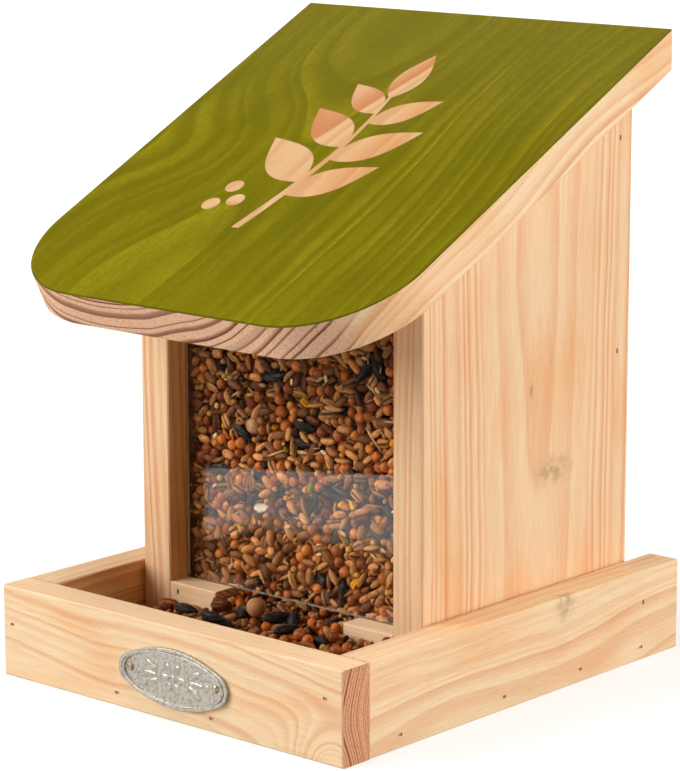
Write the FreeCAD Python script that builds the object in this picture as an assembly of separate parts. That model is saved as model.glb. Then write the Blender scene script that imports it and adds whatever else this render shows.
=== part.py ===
import FreeCAD, Part
import math
import os

# A silo bird feeder of planed pine. An open tray carries a silo with a clear front.
# Seed runs out under the pane into the tray, and the hinged roof lifts for filling.
# Lengths are millimetres. X points right, Y back and Z up, from the middle of the tray's underside.

V = FreeCAD.Vector
RIGHT = V(1, 0, 0)
BACK = V(0, 1, 0)
UP = V(0, 0, 1)

# Boards
board_thickness = 14.0
edge_ease = 0.5

# Tray
tray_width = 170.0
tray_depth = 196.0
tray_height = 35.0
floor_thickness = 10.0

# Silo, which stands on the tray's floor
silo_depth = 122.0
silo_front_height = 154.9
silo_side_gap = 1.0
silo_rear_shelf = 14.0
back_panel_inset = 3.0

# Window pane, and the blocks that it stands on at each side of the outlet
pane_thickness = 2.0
pane_setback = 9.7
pane_edge_play = 0.5
pane_top_gap = 1.5
groove_depth = 5.0
groove_play = 0.2
block_height = 19.0
outlet_width = 64.0

# Roof
roof_pitch = math.radians(26.8)
roof_thickness = 14.0
roof_side_overhang = 19.5
roof_front_overhang = 0.5
roof_corner_radius = 42.0
roof_seat_gap = 0.3

# Butt hinges between the back panel and the roof
hinge_length = 30.0
hinge_side_gap = 1.0
hinge_leaf_width = 13.0
hinge_leaf_thickness = 0.9
hinge_leaf_corner = 1.5
hinge_pin_radius = 1.15
hinge_pin_overrun = 0.3
hinge_bore_play = 0.05
hinge_wood_gap = 0.3
knuckle_count = 3
knuckle_gap = 0.3
screw_length = 8.0
screw_shank_radius = 1.1
screw_head_radius = 2.0
screw_head_depth = 0.8
screw_from_end = 6.0
screw_from_pin = 7.5
screw_recess_length = 2.2
screw_recess_width = 0.5
screw_recess_depth = 0.4

# Wire brads with flat T heads, set just under the wood
nail_length = 30.0
silo_nail_length = 45.0
block_nail_length = 15.0
nail_shank_width = 1.2
nail_shank_thickness = 1.0
nail_head_width = 1.8
nail_head_depth = 0.8
nail_set = 0.3
fastener_play = 0.05

# Places of the nails, which are driven by hand and so are a little uneven
front_nail_from_ends = (4.8, 8.1)
front_nail_heights = (20.3, 23.6)
front_floor_nails = (-24.8, 22.8)
floor_nail_shares = (0.09, 0.41, 0.66, 0.87)
silo_nail_height = 22.6
silo_nail_from_rear = 8.5
back_nail_shares = (0.50, 0.875)
back_nail_from_rear = 7.5
block_nail_from_panel = 4.5
block_nail_below_top = 3.4
block_nail_slant = math.radians(60)

# Oval plaque on the tray's front
plaque_length = 54.0
plaque_height = 22.0
plaque_end_radius = 6.0
plaque_thickness = 1.0
plaque_rim_width = 1.5
plaque_rim_rise = 0.6
plaque_rim_bevel = 0.25
plaque_offset = 4.7
plaque_centre_height = 16.2
plaque_pin_from_end = 5.75
plaque_pin_rise = 0.6
pin_head_radius = 1.6
pin_head_rise = 0.9
pin_dome_steps = 4
pin_shank_radius = 0.7
pin_length = 12.0

# Planes that the pieces share
tray_right = tray_width / 2
tray_inner = tray_right - board_thickness
tray_front = -tray_depth / 2
tray_rear = tray_depth / 2
silo_rear = tray_rear - silo_rear_shelf
silo_front = silo_rear - silo_depth
silo_outer = tray_inner - silo_side_gap
silo_inner = silo_outer - board_thickness
panel_rear = silo_rear - back_panel_inset
pane_front = silo_front + pane_setback
block_top = floor_thickness + block_height
pane_bottom = block_top
roof_right = silo_outer + roof_side_overhang
knuckle_radius = hinge_pin_radius + hinge_bore_play + hinge_leaf_thickness


def silo_top(y):
    """Height of the silo's sloping top at depth y."""
    return floor_thickness + silo_front_height + (y - silo_front) * math.tan(roof_pitch)


def roof_underside(y):
    """Height of the roof's lower face at depth y."""
    return silo_top(y) + roof_seat_gap


hinge_axis_y = panel_rear + hinge_wood_gap + knuckle_radius
hinge_axis_z = (silo_top(panel_rear) + roof_underside(panel_rear)) / 2


def block(left, right, front, rear, bottom, top):
    return Part.makeBox(right - left, rear - front, top - bottom, V(left, front, bottom))


def side_profile(points, left, right):
    """A solid with the outline points, given as (y, z), drawn out from left to right."""
    corners = [V(left, y, z) for y, z in points]
    outline = Part.Face(Part.makePolygon(corners + corners[:1]))
    return outline.extrude(V(right - left, 0, 0))


def mirrored(shape):
    return shape.mirror(V(0, 0, 0), RIGHT)


def runs_along(edge, direction):
    """Whether a straight edge is parallel to the direction."""
    if edge.Curve.TypeId != "Part::GeomLine":
        return False
    run = edge.Vertexes[-1].Point - edge.Vertexes[0].Point
    return abs(run.normalize().dot(direction)) > 0.999


def eased(board, wanted):
    """The board with a small bevel on each edge that wanted picks."""
    return board.makeChamfer(edge_ease, [edge for edge in board.Edges if wanted(edge)])


class Fastener:
    """A nail, pin or screw, with the hole that it sits in."""

    def __init__(self, solid, hole):
        self.solid = solid
        self.hole = hole

    def mirrored(self):
        return Fastener(mirrored(self.solid), mirrored(self.hole))


def upright_bar(width, thickness, bottom, top):
    return block(-width / 2, width / 2, -thickness / 2, thickness / 2, bottom, top)


def nail(surface, direction, wide, length):
    """A brad driven along direction from a point on the wood, the long side of its head along wide."""
    play = 2 * fastener_play
    head_end = nail_set + nail_head_depth
    tip = nail_set + length
    head = upright_bar(nail_head_width, nail_shank_thickness, nail_set, head_end)
    shank = upright_bar(nail_shank_width, nail_shank_thickness, nail_set, tip)
    mouth = upright_bar(nail_head_width + play, nail_shank_thickness + play, 0, head_end + fastener_play)
    bore = upright_bar(nail_shank_width + play, nail_shank_thickness + play, 0, tip + fastener_play)
    solid = head.fuse(shank).removeSplitter()
    hole = mouth.fuse(bore).removeSplitter()
    place = FreeCAD.Placement(surface, FreeCAD.Rotation(wide, V(0, 0, 0), direction, "ZXY"))
    solid.Placement = place
    hole.Placement = place
    return Fastener(solid, hole)


def turned(points, foot, direction):
    """A solid turned about its axis: points are (radius, distance from the foot) along direction."""
    corners = [V(radius, 0, height) for radius, height in points]
    outline = Part.Face(Part.makePolygon(corners + corners[:1]))
    solid = outline.revolve(V(0, 0, 0), UP, 360)
    solid.Placement = FreeCAD.Placement(foot, FreeCAD.Rotation(UP, direction))
    return solid


def hinge_screw(surface):
    """A countersunk screw driven forwards, its head level with the leaf's outer face."""
    forwards = BACK * -1
    profile = [(0, 0), (screw_head_radius, 0), (screw_shank_radius, screw_head_depth)]
    profile += [(screw_shank_radius, screw_length), (0, screw_length)]
    solid = turned(profile, surface, forwards)
    play = fastener_play
    head_radius = screw_head_radius + play
    shank_radius = screw_shank_radius + play
    hole_profile = [(0, 0), (head_radius, 0), (shank_radius, screw_head_depth + play)]
    hole_profile += [(shank_radius, screw_length + play), (0, screw_length + play)]
    hole = turned(hole_profile, surface, forwards)
    return Fastener(cross_recessed(solid, surface), hole)


def cross_recessed(solid, surface):
    """The screw with a cross-shaped recess in its head."""
    x, y, z = surface
    reach = screw_recess_length / 2
    half = screw_recess_width / 2
    flat = block(x - reach, x + reach, y - screw_recess_depth, y, z - half, z + half)
    upright = block(x - half, x + half, y - screw_recess_depth, y, z - reach, z + reach)
    return solid.cut(flat.fuse(upright))


def domed_pin(surface):
    """A round-headed pin driven backwards, its head resting on the plaque's field."""
    profile = [(0, pin_length), (pin_shank_radius, pin_length), (pin_shank_radius, 0), (pin_head_radius, 0)]
    for step in range(1, pin_dome_steps):
        angle = math.pi / 2 * step / pin_dome_steps
        profile.append((pin_head_radius * math.cos(angle), -pin_head_rise * math.sin(angle)))
    profile.append((0, -pin_head_rise))
    solid = turned(profile, surface, BACK)
    bore_radius = pin_shank_radius + fastener_play
    bore = Part.makeCylinder(bore_radius, pin_length + fastener_play, surface, BACK)
    return Fastener(solid, bore)


def front_board_nails():
    """Nails through the front board: one into each side board and two into the floor."""
    left_x = -tray_right + front_nail_from_ends[0]
    right_x = tray_right - front_nail_from_ends[1]
    places = [(left_x, front_nail_heights[0]), (right_x, front_nail_heights[1])]
    places += [(x, floor_thickness / 2) for x in front_floor_nails]
    return [nail(V(x, tray_front, z), BACK, RIGHT, nail_length) for x, z in places]


def right_board_nails():
    """Nails through the right side board: four into the floor and a long one into the silo."""
    board_front = tray_front + board_thickness
    board_length = tray_rear - board_front
    nails = []
    for share in floor_nail_shares:
        place = V(tray_right, board_front + share * board_length, floor_thickness / 2)
        nails.append(nail(place, RIGHT * -1, BACK, nail_length))
    silo_place = V(tray_right, silo_rear - silo_nail_from_rear, silo_nail_height)
    nails.append(nail(silo_place, RIGHT * -1, UP, silo_nail_length))
    return nails


def right_panel_nails():
    """Nails through the right side panel into the back panel's edge."""
    y = silo_rear - back_nail_from_rear
    panel_height = silo_top(silo_rear) - floor_thickness
    heights = [floor_thickness + share * panel_height for share in back_nail_shares]
    return [nail(V(silo_outer, y, z), RIGHT * -1, UP, nail_length) for z in heights]


def right_block_nail():
    """A nail driven at a slant through the front of the right block into the side panel."""
    place = V(silo_inner - block_nail_from_panel, silo_front, block_top - block_nail_below_top)
    direction = V(math.sin(block_nail_slant), math.cos(block_nail_slant), 0)
    return nail(place, direction, UP, block_nail_length)


def plaque_pins():
    """The two pins that hold the plaque."""
    field = tray_front - plaque_thickness
    height = plaque_centre_height + plaque_pin_rise
    half = plaque_length / 2 - plaque_pin_from_end
    return [domed_pin(V(plaque_offset + x, field, height)) for x in (-half, half)]


def hinge_middles():
    """The hinges stand just inside the side panels."""
    middle = silo_inner - hinge_side_gap - hinge_length / 2
    return (-middle, middle)


def hinge_screws(away):
    """The screws of one leaf of each hinge; away is 1 above the pin and -1 below it."""
    outer_face = panel_rear + hinge_leaf_thickness
    height = hinge_axis_z + away * screw_from_pin
    reach = hinge_length / 2 - screw_from_end
    screws = []
    for middle in hinge_middles():
        for x in (middle - reach, middle + reach):
            screws.append(hinge_screw(V(x, outer_face, height)))
    return screws


def drilled(piece, fasteners):
    """The piece with the holes of the fasteners that reach it."""
    reach = [item.hole for item in fasteners if item.hole.BoundBox.intersect(piece.BoundBox)]
    return piece.cut(reach) if reach else piece


def tray_front_board():
    """The front board runs across the whole tray and covers the ends of the side boards."""
    rear = tray_front + board_thickness
    board = block(-tray_right, tray_right, tray_front, rear, 0, tray_height)

    def wanted(edge):
        at_front = edge.CenterOfMass.y < rear - edge_ease
        return runs_along(edge, RIGHT) or (runs_along(edge, UP) and at_front)

    return eased(board, wanted)


def tray_right_board():
    """The right side board butts against the front board."""
    front = tray_front + board_thickness
    board = block(tray_inner, tray_right, front, tray_rear, 0, tray_height)

    def wanted(edge):
        at_rear = edge.CenterOfMass.y > tray_rear - edge_ease
        return runs_along(edge, BACK) or (runs_along(edge, UP) and at_rear)

    return eased(board, wanted)


def tray_floor():
    """The floor fills the tray between the front board and the two side boards."""
    front = tray_front + board_thickness
    return block(-tray_inner, tray_inner, front, tray_rear, 0, floor_thickness)


def pane_groove():
    """The slot for the pane in the right side panel, open at the top."""
    front = pane_front - groove_play
    rear = pane_front + pane_thickness + groove_play
    return block(silo_inner, silo_inner + groove_depth, front, rear, floor_thickness, silo_top(silo_rear))


def right_side_panel():
    """A side of the silo, cut to the roof's slope and grooved for the pane."""
    outline = [(silo_front, floor_thickness), (silo_rear, floor_thickness)]
    outline += [(silo_rear, silo_top(silo_rear)), (silo_front, silo_top(silo_front))]
    panel = side_profile(outline, silo_inner, silo_outer)
    return eased(panel, lambda edge: runs_along(edge, UP)).cut(pane_groove())


def back_panel():
    """The silo's back, between the side panels and bevelled along its top."""
    front = panel_rear - board_thickness
    outline = [(front, floor_thickness), (panel_rear, floor_thickness)]
    outline += [(panel_rear, silo_top(panel_rear)), (front, silo_top(front))]
    return side_profile(outline, -silo_inner, silo_inner)


def front_window():
    """The clear pane, which slides down the grooves and stands on the two blocks."""
    reach = silo_inner + groove_depth - pane_edge_play
    top = silo_top(pane_front) - pane_top_gap
    return block(-reach, reach, pane_front, pane_front + pane_thickness, pane_bottom, top)


def right_window_block():
    """The block in the silo's front corner that leaves the outlet beside it."""
    left = outlet_width / 2
    rear = silo_front + board_thickness
    piece = block(left, silo_inner, silo_front, rear, floor_thickness, block_top)

    def wanted(edge):
        middle = edge.CenterOfMass
        at_front = middle.y < silo_front + edge_ease
        along_top = runs_along(edge, RIGHT) and middle.z > block_top - edge_ease
        beside_outlet = runs_along(edge, UP) and middle.x < left + edge_ease
        return at_front and (along_top or beside_outlet)

    return eased(piece, wanted)


def roof_board():
    """One sloping board, plumb at the back, with its two front corners rounded."""
    slope = V(0, math.cos(roof_pitch), math.sin(roof_pitch))
    normal = V(0, -math.sin(roof_pitch), math.cos(roof_pitch))
    plumb_rise = roof_thickness / math.cos(roof_pitch)
    rear_bottom = V(0, panel_rear, roof_underside(panel_rear))
    rear_top = rear_bottom + UP * plumb_rise
    top_length = (panel_rear - tray_front + roof_front_overhang) / math.cos(roof_pitch)
    front_top = rear_top - slope * top_length
    front_bottom = front_top - normal * roof_thickness
    outline = [(p.y, p.z) for p in (rear_bottom, rear_top, front_top, front_bottom)]
    board = side_profile(outline, -roof_right, roof_right)
    corners = [edge for edge in board.Edges if runs_along(edge, normal)]
    board = board.makeFillet(roof_corner_radius, corners)
    return eased(board, lambda edge: not runs_along(edge, UP) and not runs_along(edge, normal))


def hinge_knuckle_spans(middle, turn):
    """Start and end of each knuckle on one leaf; turn is 0 for the back leaf and 1 for the roof's."""
    pitch = hinge_length / knuckle_count
    starts = [middle - hinge_length / 2 + pitch * i for i in range(turn, knuckle_count, 2)]
    return [(start + knuckle_gap / 2, start + pitch - knuckle_gap / 2) for start in starts]


def hinge_leaf(middle, away):
    """One leaf of a butt hinge, flat on the wood; away is 1 for the roof's and -1 for the back's."""
    outer_face = panel_rear + hinge_leaf_thickness
    left = middle - hinge_length / 2
    right = middle + hinge_length / 2
    near = hinge_axis_z + away * (knuckle_radius + knuckle_gap)
    far = hinge_axis_z + away * hinge_leaf_width
    leaf = block(left, right, panel_rear, outer_face, min(near, far), max(near, far))
    corners = [e for e in leaf.Edges if runs_along(e, BACK) and abs(e.CenterOfMass.z - far) < edge_ease]
    leaf = leaf.makeFillet(hinge_leaf_corner, corners)
    low = min(hinge_axis_z, near)
    high = max(hinge_axis_z, near)
    for start, end in hinge_knuckle_spans(middle, 1 if away > 0 else 0):
        tongue = block(start, end, panel_rear, outer_face, low, high)
        axis_start = V(start, hinge_axis_y, hinge_axis_z)
        barrel = Part.makeCylinder(knuckle_radius, end - start, axis_start, RIGHT)
        leaf = leaf.fuse([tongue, barrel])
    bore_start = V(left, hinge_axis_y, hinge_axis_z)
    bore = Part.makeCylinder(hinge_pin_radius + hinge_bore_play, hinge_length, bore_start, RIGHT)
    return leaf.cut(bore).removeSplitter()


def hinge_pin(middle):
    start = V(middle - hinge_length / 2 - hinge_pin_overrun, hinge_axis_y, hinge_axis_z)
    return Part.makeCylinder(hinge_pin_radius, hinge_length + 2 * hinge_pin_overrun, start, RIGHT)


def oval(inset, front, rear):
    """An upright oval plate about the plaque's centre, from front to rear, drawn with four arcs."""
    half_length = plaque_length / 2 - inset
    half_height = plaque_height / 2 - inset
    end_radius = plaque_end_radius - inset
    end_centre = half_length - end_radius
    spread = half_length**2 + half_height**2 - 2 * half_length * end_radius
    side_radius = spread / (2 * (half_height - end_radius))
    lean = math.atan2(side_radius - half_height, end_centre)
    join_x = end_centre + end_radius * math.cos(lean)
    join_z = end_radius * math.sin(lean)
    joins = [V(join_x, front, join_z), V(-join_x, front, join_z)]
    joins += [V(-join_x, front, -join_z), V(join_x, front, -join_z)]
    middles = [V(0, front, half_height), V(-half_length, front, 0)]
    middles += [V(0, front, -half_height), V(half_length, front, 0)]
    arcs = [Part.Arc(joins[i], middles[i], joins[(i + 1) % 4]).toShape() for i in range(4)]
    plate = Part.Face(Part.Wire(arcs)).extrude(BACK * (rear - front))
    plate.translate(V(plaque_offset, 0, plaque_centre_height))
    return plate


def oval_plaque():
    """A cast oval plate with a raised rim."""
    field = tray_front - plaque_thickness
    rim_front = field - plaque_rim_rise
    plaque = oval(0, rim_front, tray_front).cut(oval(plaque_rim_width, rim_front, field))
    rim = [edge for edge in plaque.Edges if abs(edge.CenterOfMass.y - rim_front) < plaque_rim_bevel]
    return plaque.makeChamfer(plaque_rim_bevel, rim)


def export(name, solids):
    shape = Part.makeCompound(solids) if len(solids) > 1 else solids[0]
    shape.exportStep("parts/" + name + ".step")


def solids_of(fasteners):
    return [item.solid for item in fasteners]


def main():
    os.makedirs("parts", exist_ok=True)
    front_nails = front_board_nails()
    right_nails = right_board_nails()
    left_nails = [item.mirrored() for item in right_nails]
    right_back_nails = right_panel_nails()
    left_back_nails = [item.mirrored() for item in right_back_nails]
    block_nails = [right_block_nail(), right_block_nail().mirrored()]
    pins = plaque_pins()
    roof_screws = hinge_screws(1)
    back_screws = hinge_screws(-1)
    wood_nails = front_nails + right_nails + left_nails + right_back_nails + left_back_nails + block_nails
    fasteners = wood_nails + pins + roof_screws + back_screws

    boards = {
        "tray_front_board": tray_front_board(),
        "tray_left_board": mirrored(tray_right_board()),
        "tray_right_board": tray_right_board(),
        "tray_floor": tray_floor(),
        "left_side_panel": mirrored(right_side_panel()),
        "right_side_panel": right_side_panel(),
        "back_panel": back_panel(),
        "left_window_block": mirrored(right_window_block()),
        "right_window_block": right_window_block(),
        "roof_board": roof_board(),
        "oval_plaque": oval_plaque(),
    }
    for name, board in boards.items():
        export(name, [drilled(board, fasteners)])
    export("front_window", [front_window()])

    middles = hinge_middles()
    export("hinge_roof_leaves", [drilled(hinge_leaf(middle, 1), roof_screws) for middle in middles])
    export("hinge_back_leaves", [drilled(hinge_leaf(middle, -1), back_screws) for middle in middles])
    export("hinge_pins", [hinge_pin(middle) for middle in middles])
    export("hinge_roof_screws", solids_of(roof_screws))
    export("hinge_back_screws", solids_of(back_screws))
    export("front_board_nails", solids_of(front_nails))
    export("right_board_nails", solids_of(right_nails))
    export("left_board_nails", solids_of(left_nails))
    export("right_panel_nails", solids_of(right_back_nails))
    export("left_panel_nails", solids_of(left_back_nails))
    export("window_block_nails", solids_of(block_nails))
    export("plaque_pins", solids_of(pins))


main()
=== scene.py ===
"""Looks of the silo bird feeder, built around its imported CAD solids. It runs in Blender 4.5."""

import math

import bmesh
import bpy
import numpy as np
from mathutils import Matrix, Vector
from mathutils.kdtree import KDTree


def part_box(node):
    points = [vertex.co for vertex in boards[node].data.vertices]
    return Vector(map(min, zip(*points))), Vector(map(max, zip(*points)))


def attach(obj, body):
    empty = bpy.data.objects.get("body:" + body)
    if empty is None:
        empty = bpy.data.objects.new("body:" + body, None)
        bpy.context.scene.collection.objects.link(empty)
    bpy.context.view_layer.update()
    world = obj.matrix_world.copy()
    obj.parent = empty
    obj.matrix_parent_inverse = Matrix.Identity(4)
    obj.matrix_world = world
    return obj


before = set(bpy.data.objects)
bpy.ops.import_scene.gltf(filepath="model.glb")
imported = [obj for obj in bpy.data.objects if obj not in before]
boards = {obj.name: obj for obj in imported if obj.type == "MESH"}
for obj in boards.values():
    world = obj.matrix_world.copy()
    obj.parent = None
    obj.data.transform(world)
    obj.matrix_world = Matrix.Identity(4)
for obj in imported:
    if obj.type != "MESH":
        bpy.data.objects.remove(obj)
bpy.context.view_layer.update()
MM = 0.001


# Colours and shader nodes

def shade(red, green, blue):
    """A colour given in parts of 255, as Blender's linear numbers."""
    parts = [part / 255 for part in (red, green, blue)]
    return (*(p / 12.92 if p <= 0.04045 else ((p + 0.055) / 1.055) ** 2.4 for p in parts), 1.0)


def link(tree, source, socket):
    """Joins an output to an input."""
    tree.links.new(source, socket)


def add(tree, kind, sockets=None, **settings):
    """Adds a shader node. Each named socket gets a plain value or another node's output."""
    node = tree.nodes.new("ShaderNode" + kind)
    for name, value in settings.items():
        setattr(node, name, value)
    for name, value in (sockets or {}).items():
        if isinstance(value, bpy.types.NodeSocket):
            link(tree, value, node.inputs[name])
        else:
            node.inputs[name].default_value = value
    return node


def maths(tree, operation, *terms):
    """The output of a Math node on one to three terms."""
    return add(tree, "Math", dict(enumerate(terms)), operation=operation).outputs[0]


def vectors(tree, operation, *terms):
    """The vector output of a Vector Math node."""
    return add(tree, "VectorMath", dict(enumerate(terms)), operation=operation).outputs[0]


def measure(tree, operation, *terms):
    """The one number that a Vector Math node gives: a length or a dot product."""
    return add(tree, "VectorMath", dict(enumerate(terms)), operation=operation).outputs["Value"]


def ease(tree, value, start, end, low=0.0, high=1.0):
    """Goes smoothly from low to high while the value goes from start to end."""
    limits = {"Value": value, "From Min": start, "From Max": end, "To Min": low, "To Max": high}
    return add(tree, "MapRange", limits, interpolation_type="SMOOTHSTEP").outputs[0]


def blend(tree, share, under, over, kind="MIX"):
    """One colour laid over another."""
    sockets = {0: share, 6: under, 7: over}
    return add(tree, "Mix", sockets, data_type="RGBA", blend_type=kind).outputs[2]


def noise(tree, place, scale, detail=0.0, roughness=0.5):
    """Smooth noise about 0.5 at a place."""
    sockets = {"Vector": place, "Scale": scale, "Detail": detail, "Roughness": roughness}
    return add(tree, "TexNoise", sockets).outputs[0]


def new_group(name, inputs, outputs):
    """A node group with its sockets, and where its own nodes read and write them."""
    tree = bpy.data.node_groups.new(name, "ShaderNodeTree")
    for label, kind in inputs.items():
        tree.interface.new_socket(label, in_out="INPUT", socket_type="NodeSocket" + kind)
    for label, kind in outputs.items():
        tree.interface.new_socket(label, in_out="OUTPUT", socket_type="NodeSocket" + kind)
    given = tree.nodes.new("NodeGroupInput").outputs
    wanted = tree.nodes.new("NodeGroupOutput").inputs
    return tree, given, wanted


def use_group(tree, group, sockets):
    """Places a node group in a material or in another group, and gives what it puts out."""
    return add(tree, "Group", sockets, node_tree=group).outputs


def new_material(name, specular=0.5):
    """A material with its node tree, its Principled node and the output that shows it."""
    material = bpy.data.materials.new(name)
    material.use_nodes = True
    tree = material.node_tree
    tree.nodes.clear()
    skin = add(tree, "BsdfPrincipled", {"Specular IOR Level": specular})
    output = add(tree, "OutputMaterial", {"Surface": skin.outputs[0]})
    return material, tree, skin, output


def paint(tree, skin, colour, rough):
    """Feeds a surface's colour and roughness."""
    link(tree, colour, skin.inputs["Base Color"])
    link(tree, rough, skin.inputs["Roughness"])


def emboss(tree, skin, height, strength=0.35, distance=0.08 * MM):
    """Feeds a height to the surface's normal."""
    bump = add(tree, "Bump", {"Height": height, "Strength": strength, "Distance": distance})
    link(tree, bump.outputs[0], skin.inputs["Normal"])


# New pieces

def keep_mesh(name, shape):
    """Keeps a bmesh as a mesh."""
    mesh = bpy.data.meshes.new(name)
    shape.to_mesh(mesh)
    shape.free()
    return mesh


def keep_shape(name, shape):
    """Turns the faces outwards and keeps a bmesh as a mesh."""
    bmesh.ops.recalc_face_normals(shape, faces=shape.faces)
    return keep_mesh(name, shape)


def show(name, mesh, material):
    """Puts a mesh with one material in the scene."""
    mesh.materials.append(material)
    piece = bpy.data.objects.new(name, mesh)
    bpy.context.scene.collection.objects.link(piece)
    return piece


def in_mm(box):
    """The two corners of a CAD box in millimetres."""
    return [corner / MM for corner in box]


# Pine

def make_growth_rings():
    """Rings of a trunk whose pith is the X axis, in millimetres, with the fine marks along its fibres."""
    tree, given, wanted = new_group(
        "growth rings",
        {"Place": "Vector", "Ring Width": "Float", "Wave": "Float", "Swell": "Float", "Seed": "Float"},
        {"Late": "Float", "Line": "Float", "Fibre": "Float", "Fleck": "Float", "Tone": "Float"},
    )
    apart = vectors(tree, "MULTIPLY", given["Seed"], (57.0, 31.0, 13.0))
    place = vectors(tree, "ADD", given["Place"], apart)

    drift = noise(tree, vectors(tree, "MULTIPLY", place, (0.010, 0.022, 0.022)), 1.0, 2.0, 0.35)
    drift = maths(tree, "MULTIPLY", maths(tree, "SUBTRACT", drift, 0.5), given["Wave"])
    across = vectors(tree, "MULTIPLY", given["Place"], (0.0, 1.0, 1.0))
    radius = measure(tree, "LENGTH", across)
    radius = maths(tree, "ADD", maths(tree, "ADD", radius, drift), given["Swell"])

    years = maths(tree, "DIVIDE", radius, given["Ring Width"])
    own_years = maths(tree, "ADD", years, given["Seed"])
    uneven = add(tree, "TexNoise", {"W": own_years, "Scale": 0.45, "Detail": 1.0},
                 noise_dimensions="1D").outputs[0]
    years = maths(tree, "ADD", years, maths(tree, "MULTIPLY", uneven, 2.4))
    part = maths(tree, "FRACT", years)
    year = maths(tree, "ADD", maths(tree, "FLOOR", years), given["Seed"])
    strength = add(tree, "TexWhiteNoise", {"W": year}, noise_dimensions="1D").outputs["Value"]
    strength = ease(tree, strength, 0.0, 1.0, 0.30, 1.0)
    band = maths(tree, "MULTIPLY", ease(tree, part, 0.15, 0.80), ease(tree, part, 1.0, 0.84))
    late = maths(tree, "MULTIPLY", band, strength)
    line = maths(tree, "MULTIPLY", ease(tree, part, 0.55, 0.92), ease(tree, part, 1.0, 0.94))
    line = maths(tree, "MULTIPLY", line, ease(tree, strength, 0.30, 1.0, 0.75, 1.0))

    fibre = noise(tree, vectors(tree, "MULTIPLY", place, (0.045, 1.0, 1.0)), 1.5, 2.0, 0.6)
    fleck = noise(tree, vectors(tree, "MULTIPLY", place, (0.16, 1.0, 1.0)), 1.7)
    tone = noise(tree, vectors(tree, "MULTIPLY", place, (0.35, 1.0, 1.0)), 0.045, 1.0)
    link(tree, late, wanted["Late"])
    link(tree, line, wanted["Line"])
    link(tree, fibre, wanted["Fibre"])
    link(tree, ease(tree, fleck, 0.70, 0.78), wanted["Fleck"])
    link(tree, tone, wanted["Tone"])
    return tree


def share_of_reach(tree, given):
    """How far a group's point lies from its centre, where 1 is the reach on each axis."""
    away = vectors(tree, "SUBTRACT", given["Point"], given["Centre"])
    return measure(tree, "LENGTH", vectors(tree, "DIVIDE", away, given["Reach"]))


def make_swell():
    """A round swelling of the rings about a point, such as a hidden knot gives."""
    tree, given, wanted = new_group(
        "swell",
        {"Point": "Vector", "Centre": "Vector", "Reach": "Vector", "Amount": "Float"},
        {"Shift": "Float"},
    )
    far = share_of_reach(tree, given)
    fall = maths(tree, "EXPONENT", maths(tree, "MULTIPLY", maths(tree, "MULTIPLY", far, far), -1.0))
    link(tree, maths(tree, "MULTIPLY", fall, given["Amount"]), wanted["Shift"])
    return tree


def make_blemish():
    """A small patchy grey-brown mark about a point, as a mask."""
    tree, given, wanted = new_group(
        "blemish",
        {"Point": "Vector", "Centre": "Vector", "Reach": "Vector"},
        {"Mask": "Float"},
    )
    far = share_of_reach(tree, given)
    patchy = ease(tree, noise(tree, given["Point"], 260.0, 3.0, 0.6), 0.42, 0.62, 0.25, 1.0)
    link(tree, maths(tree, "MULTIPLY", ease(tree, far, 1.0, 0.15), patchy), wanted["Mask"])
    return tree


def make_pine():
    """Planed pine: cream early wood, orange late wood, and red-brown rings on the end grain."""
    tree, given, wanted = new_group(
        "pine",
        {"Place": "Vector", "Facing": "Vector", "Along": "Vector", "Ring Width": "Float", "Wave": "Float",
         "Swell": "Float", "Seed": "Float", "Depth": "Float", "Early": "Color", "End Early": "Color",
         "End Late": "Color", "Blemish": "Float"},
        {"Color": "Color", "Roughness": "Float", "Height": "Float", "Late": "Float", "Fibre": "Float",
         "Tone": "Float"},
    )
    grain = use_group(tree, growth_rings, {
        name: given[name] for name in ("Place", "Ring Width", "Wave", "Swell", "Seed")
    })
    cut = measure(tree, "DOT_PRODUCT", given["Facing"], given["Along"])
    end = ease(tree, maths(tree, "ABSOLUTE", cut), 0.60, 0.85)

    side = blend(tree, maths(tree, "MULTIPLY", grain["Late"], given["Depth"]), given["Early"], LATE_WOOD)
    side = blend(tree, ease(tree, grain["Tone"], 0.48, 0.75, 0.0, 0.75), side, WARM_WOOD, "MULTIPLY")
    side = blend(tree, ease(tree, grain["Fibre"], 0.35, 0.70, 0.30, 0.0), side, FIBRE_SHADE, "MULTIPLY")
    side = blend(tree, maths(tree, "MULTIPLY", grain["Fleck"], 0.07), side, FLECK_BROWN)
    side = blend(tree, maths(tree, "MULTIPLY", given["Blemish"], 0.55), side, BLEMISH_GREY)
    cross = blend(tree, grain["Line"], given["End Early"], given["End Late"])
    cross = blend(tree, ease(tree, grain["Fibre"], 0.35, 0.65, 0.5, 0.0), cross, FIBRE_SHADE, "MULTIPLY")
    cross = blend(tree, maths(tree, "MULTIPLY", grain["Fleck"], 0.7), cross, FLECK_BROWN)
    link(tree, blend(tree, end, side, cross), wanted["Color"])

    rough = ease(tree, grain["Fibre"], 0.3, 0.7, 0.70, 0.56)
    link(tree, maths(tree, "ADD", rough, maths(tree, "MULTIPLY", end, 0.12)), wanted["Roughness"])
    flat = maths(tree, "SUBTRACT", 1.0, end)
    ridges = maths(tree, "MULTIPLY", maths(tree, "MULTIPLY", grain["Late"], 0.5), flat)
    raised = maths(tree, "ADD", ridges, grain["Fibre"])
    pores = maths(tree, "MULTIPLY", grain["Fleck"], 0.5)
    link(tree, maths(tree, "SUBTRACT", raised, pores), wanted["Height"])
    for name in ("Late", "Fibre", "Tone"):
        link(tree, grain[name], wanted[name])
    return tree


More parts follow.
